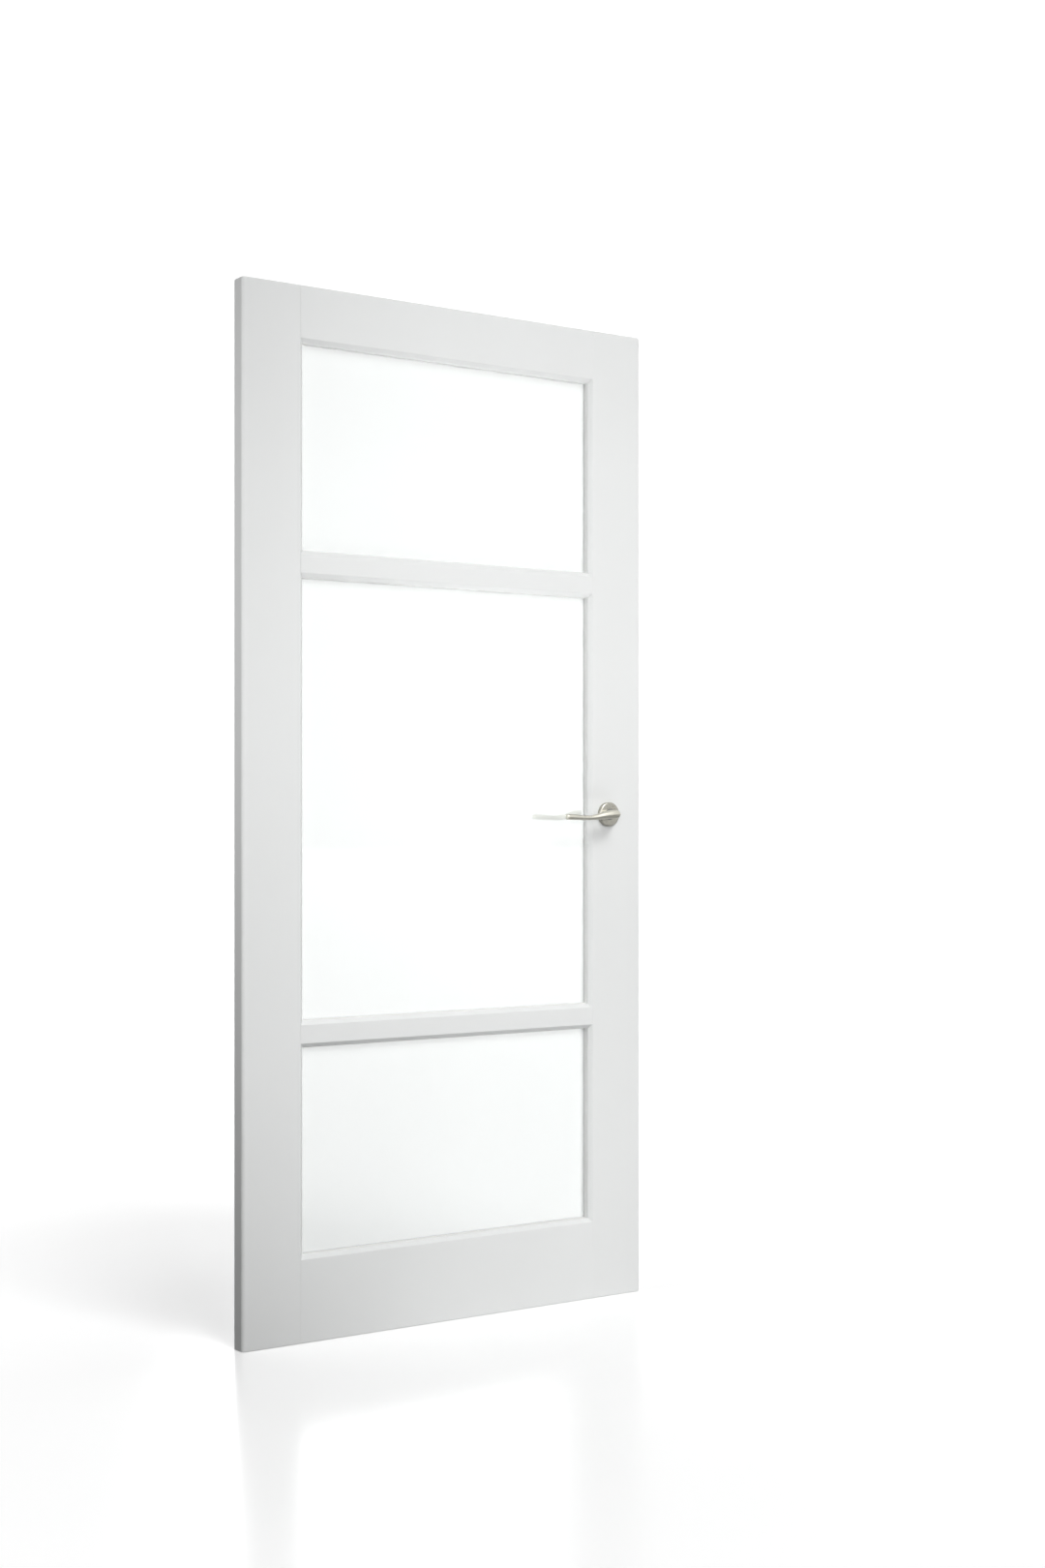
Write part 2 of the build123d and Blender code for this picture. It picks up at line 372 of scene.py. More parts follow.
def soften(bm, width, segments=2, where=None):
    """Eases the edges that are still sharp, all of them or those that a test picks."""
    edges = [edge for edge in bm.edges if edge.is_manifold and edge.calc_face_angle() > SHARP]
    round_off(bm, [edge for edge in edges if where is None or where(edge)], width, segments)


def lies(item, axis, value):
    """True if every vertex of an edge or a face lies at a value along an axis."""
    return all(abs(vert.co[axis] - value) < NEAR for vert in item.verts)


def split_at(bm, axis, value):
    """Cuts the whole mesh along a plane without taking anything away."""
    normal = Vector((0.0, 0.0, 0.0))
    normal[axis] = 1.0
    geometry = bm.verts[:] + bm.edges[:] + bm.faces[:]
    bmesh.ops.bisect_plane(bm, geom=geometry, plane_co=normal * value, plane_no=normal)


def stile_mesh(paint, outer, inward):
    """A stile: its section pushed up to full height, then its arrises."""
    bm = bmesh.new()
    sight = LEFT_SIGHT
    joint = outer + inward * (sight - REBATE)
    outline = [
        (0, FRONT),
        (sight - paint.bevel, FRONT),
        (sight, FRONT + paint.bevel),
        (sight, GLASS_FRONT),
        (sight - REBATE, GLASS_FRONT),
        (sight - REBATE, BACK),
        (0, BACK),
    ]
    section = bm.faces.new([bm.verts.new((outer + inward * d, y, 0)) for d, y in outline])
    extrude_faces(bm, [section], (0, 0, TOP))
    sides = [
        edge
        for edge in bm.edges
        if lies(edge, 0, outer) and edge.verts[0].co.z != edge.verts[1].co.z
    ]
    round_off(bm, sides, paint.side_arris, 6)
    top_edges = [
        edge
        for edge in bm.edges
        if lies(edge, 2, TOP) and any(inward * (vert.co.x - joint) < -NEAR for vert in edge.verts)
    ]
    round_off(bm, top_edges, paint.top_arris, 3)
    return bm


def scribe_end(bm, end_x, outward, bevel):
    """Shapes one end of a rail so that it fits over the sticking of the stile."""
    for vert in bm.verts:
        if abs(vert.co.x - end_x) < NEAR and abs(vert.co.y - FRONT) < NEAR:
            vert.co.x += outward * bevel
    tenon = [
        face
        for face in bm.faces
        if lies(face, 0, end_x) and all(vert.co.y > GLASS_FRONT - NEAR for vert in face.verts)
    ]
    extrude_faces(bm, tenon, (outward * REBATE, 0, 0))


def rail_mesh(paint, front_outline, back_outline):
    """A rail or bar from outlines of (z, y) points: run between the stiles and scribed at both ends."""
    bm = bmesh.new()
    points = {}
    faces = []
    for outline in (front_outline, back_outline):
        for z, y in outline:
            if (z, y) not in points:
                points[(z, y)] = bm.verts.new((LEFT_SIGHT, y, z))
        faces.append(bm.faces.new([points[point] for point in outline]))
    extrude_faces(bm, faces, (RIGHT_SIGHT - LEFT_SIGHT, 0, 0))
    split_at(bm, 1, FRONT + paint.bevel)
    split_at(bm, 1, GLASS_FRONT)
    scribe_end(bm, LEFT_SIGHT, -1, paint.bevel)
    scribe_end(bm, RIGHT_SIGHT, 1, paint.bevel)
    return bm


def outer_rail_outlines(outer, sight, bevel):
    """The outlines of a top or bottom rail, in front of the glass line and behind it."""
    up = 1 if sight > outer else -1
    front = [
        (outer, FRONT),
        (sight - up * bevel, FRONT),
        (sight, FRONT + bevel),
        (sight, GLASS_FRONT),
        (sight - up * REBATE, GLASS_FRONT),
        (outer, GLASS_FRONT),
    ]
    shoulder = sight - up * REBATE
    back = [(outer, GLASS_FRONT), (shoulder, GLASS_FRONT), (shoulder, BACK), (outer, BACK)]
    return front, back


def bar_outlines(low, high, bevel):
    """The outlines of a glazing bar, moulded above and below."""
    front = [
        (low + bevel, FRONT),
        (high - bevel, FRONT),
        (high, FRONT + bevel),
        (high, GLASS_FRONT),
        (high - REBATE, GLASS_FRONT),
        (low + REBATE, GLASS_FRONT),
        (low, GLASS_FRONT),
        (low, FRONT + bevel),
    ]
    back = [
        (low + REBATE, GLASS_FRONT),
        (high - REBATE, GLASS_FRONT),
        (high - REBATE, BACK),
        (low + REBATE, BACK),
    ]
    return front, back


def mitred_strip(outline, start, end, outward):
    """A strip along one side of a pane; its section is (distance outwards, y) and its ends are mitred."""
    bm = bmesh.new()
    along = (end - start).normalized()
    points = [start + (outward - along) * d + Vector((0, y, 0)) for d, y in outline]
    section = bm.faces.new([bm.verts.new(point) for point in points])
    for vert in extrude_faces(bm, [section], end - start):
        vert.co += along * 2 * outward.dot(vert.co - start)
    return bm


def sides_of(z0, z1):
    """Start, end and outward direction of the four sides of a sight opening."""
    low_left, low_right = Vector((LEFT_SIGHT, 0, z0)), Vector((RIGHT_SIGHT, 0, z0))
    top_left, top_right = Vector((LEFT_SIGHT, 0, z1)), Vector((RIGHT_SIGHT, 0, z1))
    return {
        "bottom": (low_left, low_right, Vector((0, 0, -1))),
        "top": (top_left, top_right, Vector((0, 0, 1))),
        "left": (low_left, top_left, Vector((-1, 0, 0))),
        "right": (low_right, top_right, Vector((1, 0, 0))),
    }


def sight_of(pane):
    """Foot and top of the sight opening of a pane."""
    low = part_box(f"{pane}_bead_bottom")[1].z
    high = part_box(f"{pane}_bead_top")[0].z
    return low, high


def join(parts):
    """One bmesh that holds several."""
    whole = bmesh.new()
    for part in parts:
        mesh = bpy.data.meshes.new("part")
        part.to_mesh(mesh)
        part.free()
        whole.from_mesh(mesh)
        bpy.data.meshes.remove(mesh)
    return whole


def turned(profile, axis_point, axis, steps, ring=True):
    """Spins a profile of (radius, place along the axis) points all the way round.

    A ring's profile is closed. Any other starts and ends on the axis.
    """
    bm = bmesh.new()
    axis = Vector(axis)
    side = axis.orthogonal().normalized()
    verts = [bm.verts.new(axis_point + side * r + axis * h) for r, h in profile]
    edges = [bm.edges.new((verts[-1], verts[0]))] if ring else []
    edges += [bm.edges.new(pair) for pair in zip(verts, verts[1:])]
    bmesh.ops.spin(
        bm,
        geom=verts + edges,
        cent=axis_point,
        axis=axis,
        dvec=(0, 0, 0),
        angle=math.tau,
        steps=steps,
        use_merge=True,
        use_duplicate=False,
    )
    bmesh.ops.remove_doubles(bm, verts=bm.verts, dist=MERGE)
    return bm


def quarter(centre_r, centre_h, radius, start, steps=5):
    """Points of a quarter circle, from an angle in degrees onwards."""
    angles = [math.radians(start + 90 * i / steps) for i in range(steps + 1)]
    return [(centre_r + radius * math.cos(a), centre_h + radius * math.sin(a)) for a in angles]


# Materials


def new_material(name):
    """An empty node material and its tree."""
    material = bpy.data.materials.new(name)
    material.use_nodes = True
    material.node_tree.nodes.clear()
    return material, material.node_tree


def add(tree, kind, **inputs):
    """A node of a kind, with values for its sockets; a socket as a value is linked."""
    node = tree.nodes.new(f"ShaderNode{kind}")
    for name, value in inputs.items():
        socket = node.inputs[name.replace("_", " ")]
        if isinstance(value, bpy.types.NodeSocket):
            tree.links.new(value, socket)
        else:
            socket.default_value = value
    return node


def pattern(tree, scale, detail=2.0, roughness=0.5, stretch=(1, 1, 1)):
    """Noise in the object's own metres; stretch gives the relative frequency along each axis."""
    coords = add(tree, "TexCoord")
    placed = add(tree, "Mapping", Vector=coords.outputs["Object"], Scale=stretch)
    noise = add(
        tree, "TexNoise", Vector=placed.outputs["Vector"], Scale=scale, Detail=detail, Roughness=roughness
    )
    return noise.outputs["Fac"]


def ramp(tree, source, low, high, start=0.3, end=0.7):
    """Maps a pattern from one value to another."""
    node = tree.nodes.new("ShaderNodeMapRange")
    tree.links.new(source, node.inputs["Value"])
    node.inputs["From Min"].default_value = start
    node.inputs["From Max"].default_value = end
    node.inputs["To Min"].default_value = low
    node.inputs["To Max"].default_value = high
    return node.outputs["Result"]


def tint(tree, source, first, second):
    """Mixes two colours by a pattern."""
    node = tree.nodes.new("ShaderNodeMix")
    node.data_type = "RGBA"
    tree.links.new(source, node.inputs[0])
    node.inputs[6].default_value = (*first, 1.0)
    node.inputs[7].default_value = (*second, 1.0)
    return node.outputs[2]


def bump(tree, layers):
    """Adds up height patterns, each with its depth in metres."""
    normal = None
    for height, depth in layers:
        node = add(tree, "Bump", Height=height, Distance=depth, Strength=1.0)
        if normal is not None:
            tree.links.new(normal, node.inputs["Normal"])
        normal = node.outputs["Normal"]
    return normal


def mix_shaders(tree, factor, first, second):
    """Passes from one shader to another as a factor goes from 0 to 1."""
    node = tree.nodes.new("ShaderNodeMixShader")
    tree.links.new(factor, node.inputs[0])
    tree.links.new(first.outputs[0], node.inputs[1])
    tree.links.new(second.outputs[0], node.inputs[2])
    return node


def finish_material(material, tree, shader):
    """Connects a shader to the output."""
    output = tree.nodes.new("ShaderNodeOutputMaterial")
    tree.links.new(shader.outputs[0], output.inputs["Surface"])
    return material


def scaled(colour, factor):
    """A colour made lighter or darker."""
    return tuple(min(1.0, channel * factor) for channel in colour)


def painted_timber(name, paint, grain_axis):
    """Satin paint over timber: a fine spray texture and a trace of grain along the piece."""
    material, tree = new_material(name)
    stretch = [170.0, 170.0, 170.0]
    stretch[grain_axis] = 5.0
    grain = pattern(tree, 1.0, detail=4.0, roughness=0.6, stretch=stretch)
    spray = pattern(tree, 650.0, detail=1.0)
    cloud = pattern(tree, 4.0, detail=3.0)
    shade = tint(tree, ramp(tree, cloud, 0.0, 1.0), scaled(paint.colour, 0.985), paint.colour)
    sheen = ramp(tree, pattern(tree, 40.0, detail=3.0), paint.roughness - 0.05, paint.roughness + 0.05)
    normal = bump(tree, [(grain, 0.00006), (spray, 0.00004)])
    shader = add(tree, "BsdfPrincipled", Base_Color=shade, Roughness=sheen, Normal=normal, IOR=1.5)
    return finish_material(material, tree, shader)


def clear_glass(name, glass):
    """Float glass: clear, faintly green, reflecting more towards grazing angles."""
    material, tree = new_material(name)
    through = add(tree, "BsdfTransparent", Color=(*glass.colour, 1.0))
    film = ramp(tree, pattern(tree, 9.0, detail=5.0, roughness=0.6), 0.0, 0.04)
    wave = bump(tree, [(pattern(tree, 2.2, detail=1.0), 0.0001)])
    mirror = add(tree, "BsdfAnisotropic", Color=(1, 1, 1, 1), Roughness=film, Normal=wave)
    facing = add(tree, "Fresnel", IOR=glass.ior, Normal=wave)
    return finish_material(material, tree, mix_shaders(tree, facing.outputs[0], through, mirror))


def sealant(name):
    """White sealant, slightly wavy where it was smoothed."""
    material, tree = new_material(name)
    wave = pattern(tree, 120.0, detail=2.0)
    shade = tint(tree, wave, (0.72, 0.72, 0.71), (0.78, 0.78, 0.77))
    normal = bump(tree, [(wave, 0.0001)])
    shader = add(tree, "BsdfPrincipled", Base_Color=shade, Roughness=0.45, Normal=normal)
    return finish_material(material, tree, shader)


def brushed_metal(name, colour, roughness, stretch, depth=0.00002):
    """Plated or bare metal with fine brush lines."""
    material, tree = new_material(name)
    lines = pattern(tree, 1.0, detail=3.0, roughness=0.7, stretch=stretch)
    cloud = pattern(tree, 55.0, detail=2.0)
    shade = tint(tree, cloud, scaled(colour, 0.93), scaled(colour, 1.04))
    sheen = ramp(tree, lines, roughness - 0.07, roughness + 0.08)
    normal = bump(tree, [(lines, depth)])
    shader = add(
        tree, "BsdfPrincipled", Base_Color=shade, Metallic=1.0, Roughness=sheen, Normal=normal
    )
    return finish_material(material, tree, shader)


def nylon(name):
    """Grey moulded nylon of the bearing rings."""
    material, tree = new_material(name)
    grains = pattern(tree, 900.0, detail=2.0)
    shade = tint(tree, grains, (0.20, 0.20, 0.20), (0.26, 0.26, 0.26))
    sheen = ramp(tree, grains, 0.42, 0.55)
    normal = bump(tree, [(grains, 0.00002)])
    shader = add(tree, "BsdfPrincipled", Base_Color=shade, Roughness=sheen, Normal=normal)
    return finish_material(material, tree, shader)


def shared(name, make, *values):
    """A material that is made once and then found again by its name."""
    return bpy.data.materials.get(name) or make(name, *values)


def paint_along(paint, grain_axis):
    """The paint with its grain along x, as on the rails, or along z, as on the stiles."""
    name = "paint_on_stiles" if grain_axis == 2 else "paint_on_rails"
    return shared(name, painted_timber, paint, grain_axis)


# Operators


class DOOR_OT_frame_members(bpy.types.Operator):
    """Model the stiles, rails and glazing bars with softened, scribed joints"""

    bl_idname = "door.frame_members"
    bl_label = "Frame members"

    def execute(self, context):
        paint = context.scene.door_paint
        upright, level = paint_along(paint, 2), paint_along(paint, 0)
        hinge = stile_mesh(paint, 0.0, 1)
        lock = stile_mesh(paint, LOCK_EDGE, -1)
        sink_faceplate(lock)
        for name, bm in {"hinge_stile": hinge, "lock_stile": lock}.items():
            soften(bm, paint.softness)
            new_piece(f"painted_{name}", bm, "leaf", upright, [name])
        for name in MEMBERS:
            low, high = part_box(name)
            if name == "top_rail":
                outlines = outer_rail_outlines(high.z, low.z, paint.bevel)
            elif name == "bottom_rail":
                outlines = outer_rail_outlines(low.z, high.z, paint.bevel)
            else:
                outlines = bar_outlines(low.z, high.z, paint.bevel)
            bm = rail_mesh(paint, *outlines)
            if name == "top_rail":
                arris = [
                    edge
                    for edge in bm.edges
                    if lies(edge, 2, TOP) and (lies(edge, 1, FRONT) or lies(edge, 1, BACK))
                ]
                round_off(bm, arris, paint.top_arris, 3)
            soften(bm, paint.softness, where=clear_of_glass_line)
            new_piece(f"painted_{name}", bm, "leaf", level, [name])
        return {"FINISHED"}


def clear_of_glass_line(edge):
    """True for an edge that doesn't touch the plane in which a rail is cut to a tenon."""
    return all(abs(vert.co.y - GLASS_FRONT) > NEAR for vert in edge.verts)


def sink_faceplate(bm):
    """Sinks the round-ended recess of the faceplate into the lock edge."""
    low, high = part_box("lock_faceplate")
    middle = (low + high) / 2
    edge_face = face_over(bm, middle.z)
    margin = LOCK_HIGH.y - bpy.context.scene.door_paint.side_arris - high.y
    for value in (low.z - margin, high.z + margin):
        geometry = [edge_face, *edge_face.edges, *edge_face.verts]
        bmesh.ops.bisect_plane(bm, geom=geometry, plane_co=(0, 0, value), plane_no=(0, 0, 1))
        edge_face = face_over(bm, middle.z)
    bmesh.ops.inset_region(bm, faces=[edge_face], thickness=margin, depth=0.0, use_even_offset=True)
    extrude_faces(bm, [edge_face], (low.x - high.x, 0, 0))
    corners = [
        edge
        for edge in bm.edges
        if abs(abs(edge.verts[0].co.x - edge.verts[1].co.x) - (high.x - low.x)) < 1e-6
        and all(abs(vert.co.y) < high.y + 1e-6 for vert in edge.verts)
    ]
    round_off(bm, corners, high.y - END_FLAT, END_SEGMENTS)


def face_over(bm, z):
    """The flat face of the lock edge that reaches over a height."""
    for face in bm.faces:
        heights = [vert.co.z for vert in face.verts]
        if lies(face, 0, LOCK_EDGE) and min(heights) < z < max(heights):
            return face
    raise ValueError("No flat of the lock edge reaches over this height")


def runs_along(edge, direction):
    """True for an edge in a direction."""
    return abs((edge.verts[1].co - edge.verts[0].co).normalized().dot(direction)) > 0.999


class DOOR_OT_glazing_beads(bpy.types.Operator):
    """Model the mitred glazing beads on the back face, with their pins"""

    bl_idname = "door.glazing_beads"
    bl_label = "Glazing beads"

    def execute(self, context):
        paint = context.scene.door_paint
        outline = [
            (0, GLASS_BACK),
            (REBATE, GLASS_BACK),
            (REBATE, BACK),
            (paint.bevel, BACK),
            (0, BACK - paint.bevel),
        ]
        pins = []
        for pane in PANES:
            for side, (start, end, outward) in sides_of(*sight_of(pane)).items():
                material = paint_along(paint, 2 if side in ("left", "right") else 0)
                bm = mitred_strip(outline, start, end, outward)
                along = (end - start).normalized()
                soften(bm, paint.softness * 0.7, where=lambda edge: runs_along(edge, along))
                node = f"{pane}_bead_{side}"
                new_piece(f"painted_{node}", bm, "leaf", material, [node])
                pins += self.pins_along(paint, start, end, outward)
        new_piece("bead_pins", join(pins), "leaf", paint_along(paint, 2))
        return {"FINISHED"}

    def pins_along(self, paint, start, end, outward):
        """Filled pin heads along the flat of one bead."""
        length = (end - start).length
        count = max(2, math.ceil(length / paint.pin_spacing))
        heads = []
        for i in range(count):
            place = start + (end - start) * (i + 0.5) / count
            place += outward * (paint.bevel + REBATE) / 2 + Vector((0, BACK, 0))
            heads.append(turned(PIN_PROFILE, place, (0, 1, 0), steps=10, ring=False))
        return heads


class DOOR_OT_glass(bpy.types.Operator):
    """Model the panes and the sealant round them"""

    bl_idname = "door.glass"
    bl_label = "Glass"

    def execute(self, context):
        glass = context.scene.door_glass
        material = shared("clear_glass", clear_glass, glass)
        seal_material = shared("white_sealant", sealant)
        width = glass.seal
        front = [(0, GLASS_FRONT - width), (0, GLASS_FRONT), (-width, GLASS_FRONT)]
        back = [(0, GLASS_BACK + width), (0, GLASS_BACK), (-width, GLASS_BACK)]
        for pane in PANES:
            low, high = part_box(f"{pane}_glass")
            size = high - low
            bm = bmesh.new()
            place = Matrix.Translation((low + high) / 2) @ Matrix.Diagonal((*size, 1.0))
            bmesh.ops.create_cube(bm, size=1.0, matrix=place)
            round_off(bm, bm.edges[:], glass.arris, 1)
            new_piece(f"{pane}_pane", bm, "leaf", material, [f"{pane}_glass"])
            for face, outline in {"front": front, "back": back}.items():
                strips = [mitred_strip(outline, *side) for side in sides_of(*sight_of(pane)).values()]
                new_piece(f"{pane}_{face}_seal", join(strips), "leaf", seal_material)
        return {"FINISHED"}


class DOOR_OT_roses(bpy.types.Operator):
    """Model the pressed roses, with the bearing rings that the levers turn in"""

    bl_idname = "door.roses"
    bl_label = "Roses"

    def execute(self, context):
        handle = context.scene.door_handle
        # Painted shade: the roses take the levers' nickel at 70 % of its colour, so they look darker than
        # the levers
        colour = scaled(handle.colour, 0.7)
        nickel = shared(
            "nickel_on_roses", brushed_metal, colour, handle.roughness, (300, 300, 300)
        )
        dull = shared("grey_nylon", nylon)
        for side, sign in HANDLES.items():
            foot = Vector((SPINDLE.x, sign * FRONT, SPINDLE.z))
            outward = Vector((0, -sign, 0))
            cover = turned(self.cover_profile(handle, side), foot, outward, steps=96)
            new_piece(f"{side}_rose_cover", cover, "leaf", nickel, [f"{side}_rose"])
            ring = turned(self.ring_profile(handle, side), foot, outward, steps=64)
            new_piece(f"{side}_bearing_ring", ring, "leaf", dull, [f"{side}_bearing"])
        return {"FINISHED"}

    def cover_profile(self, handle, side):
        """A pressed cup, open at the back, with an eased rim round the bearing ring."""
        low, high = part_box(f"{side}_rose")
        ring_low, ring_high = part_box(f"{side}_bearing")
        radius = (high.x - low.x) / 2
        height = high.y - low.y
        hole = (ring_high.x - ring_low.x) / 2
        edge, skin = handle.rose_round, handle.rose_skin
        profile = [(radius, 0.0)]
        profile += quarter(radius - edge, height - edge, edge, 0, 6)
        gap, ease = 0.0002, 0.0004
        profile += [(hole + gap + ease, height), (hole + gap, height - ease)]
        profile += [(hole + gap, height - skin), (radius - skin, height - skin), (radius - skin, 0.0)]
        return profile

    def ring_profile(self, handle, side):
        """A flat ring with both front edges eased."""
        low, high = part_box(f"{side}_bearing")
        height = high.y - low.y
        outer = (high.x - low.x) / 2
        play, ease, inner_ease = 0.0001, 0.0004, 0.0003
        bore = handle.neck_diameter / 2 + play
        profile = [(bore, 0.0), (outer, 0.0), (outer, height - ease), (outer - ease, height)]
        profile += [(bore + inner_ease, height), (bore, height - inner_ease)]
        return profile


# Rings of the lever's mesh along its neck, elbow, grip and rounded tip
NECK_RINGS, ELBOW_RINGS, GRIP_RINGS, TIP_RINGS = 4, 8, 24, 6


class DOOR_OT_levers(bpy.types.Operator):
    """Model the levers: neck, elbow, and a grip that narrows to a waist"""

    bl_idname = "door.levers"
    bl_label = "Levers"

    def execute(self, context):
        handle = context.scene.door_handle
        nickel = shared(
            "nickel_on_levers", brushed_metal, handle.colour, handle.roughness, (25, 500, 500)
        )
        for side, sign in HANDLES.items():
            bm = self.lever_mesh(handle)
            if sign < 0:
                bmesh.ops.scale(bm, vec=(1, -1, 1), verts=bm.verts)
            piece, node = f"{side}_lever_handle", f"{side}_lever"
            new_piece(piece, bm, "lever_set", nickel, [node], 45.0)
            self.grub_screw(handle, side, sign)
        return {"FINISHED"}

    def rings(self, handle, low, high):
        """Centre, direction, height and depth of each ring along the front lever."""
        neck = handle.neck_diameter
        waist_y = low.y + neck / 2
        elbow_y = waist_y + handle.elbow_radius
        reach = SPINDLE.x - low.x
        for i in range(NECK_RINGS + 1):
            y = high.y + (elbow_y - high.y) * i / NECK_RINGS
            yield Vector((SPINDLE.x, y, SPINDLE.z)), 0.0, neck, neck
        for i in range(1, ELBOW_RINGS + 1):
            angle = RIGHT_ANGLE * i / ELBOW_RINGS
            x = SPINDLE.x - handle.elbow_radius * (1 - math.cos(angle))
            y = elbow_y - handle.elbow_radius * math.sin(angle)
            yield Vector((x, y, SPINDLE.z)), angle, neck, neck
        end = reach - handle.tip_round
        places = [
            (handle.elbow_radius + (end - handle.elbow_radius) * i / GRIP_RINGS, 0.0)
            for i in range(1, GRIP_RINGS + 1)
        ]
        for i in range(1, TIP_RINGS + 1):
            angle = RIGHT_ANGLE * i / TIP_RINGS
            cut = 2 * handle.tip_round * (1 - math.cos(angle))
            places.append((end + handle.tip_round * math.sin(angle), cut))
        for distance, cut in places:
            drop, height, depth = self.grip(handle, distance, reach)
            centre = Vector((SPINDLE.x - distance, waist_y, SPINDLE.z - drop))
            yield centre, RIGHT_ANGLE, height - cut, depth - cut

    def grip(self, handle, distance, reach):
        """Drop, height and depth of the grip at a distance from the spindle."""
        neck = handle.neck_diameter
        if distance < handle.waist_distance:
            share = (distance - handle.elbow_radius) / (handle.waist_distance - handle.elbow_radius)
            blend = (1 - math.cos(math.pi * share)) / 2
            height = neck + (handle.waist_height - neck) * blend
            return handle.drop * blend, height, neck + (handle.waist_depth - neck) * blend
        share = (distance - handle.waist_distance) / (reach - handle.waist_distance)
        blend = (1 - math.cos(math.pi * share)) / 2
        height = handle.waist_height + (handle.tip_height - handle.waist_height) * blend
        depth = handle.waist_depth + (handle.tip_depth - handle.waist_depth) * blend
        return handle.drop - handle.tip_rise * blend, height, depth

    def lever_mesh(self, handle):
        """Extrudes one ring along the lever, always built as the front one."""
        low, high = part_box("front_lever")
        bm = bmesh.new()
        rings = [self.ring_matrix(*ring) for ring in self.rings(handle, low, high)]
        start = bmesh.ops.create_circle(bm, cap_ends=False, segments=40, radius=0.5, matrix=rings[0])
        edges = edges_round(start["verts"])
        bmesh.ops.contextual_create(bm, geom=edges)
        for before, after in zip(rings, rings[1:]):
            edges = extrude_edges(bm, edges, after @ before.inverted())
        bmesh.ops.contextual_create(bm, geom=edges)
        return bm

    def ring_matrix(self, centre, turn, height, depth):
        """Places a unit circle: local x is the depth of the section and local y its height."""
        facing = Matrix.Rotation(RIGHT_ANGLE, 4, "X")
        heading = Matrix.Rotation(-turn, 4, "Z")
        return Matrix.Translation(centre) @ heading @ facing @ Matrix.Diagonal((depth, height, 1.0, 1.0))

    def grub_screw(self, handle, side, sign):
        """The set screw under the neck that holds the lever on the spindle."""
        dark = (0.16, 0.16, 0.165)
        steel = shared("dark_screw_steel", brushed_metal, dark, 0.4, (400, 400, 400))
        distance, proud, radius, length, socket_depth = 0.019, 0.0002, 0.0025, 0.0022, 0.0016
        y = sign * (FRONT - distance)
        foot = Vector((SPINDLE.x, y, SPINDLE.z - handle.neck_diameter / 2 - proud))
        bm = bmesh.new()
        place = Matrix.Translation(foot)
        bmesh.ops.create_circle(bm, cap_ends=True, segments=24, radius=radius, matrix=place)
        face = next(iter(bm.faces))
        end = extrude_edges(bm, list(face.edges), Matrix.Translation((0, 0, length)))
        bmesh.ops.contextual_create(bm, geom=end)
        wall = radius * 0.44
        bmesh.ops.inset_region(bm, faces=[face], thickness=wall, depth=0.0, use_even_offset=True)
        extrude_faces(bm, [face], (0, 0, socket_depth))
        new_piece(f"{side}_grub_screw", bm, "lever_set", steel)


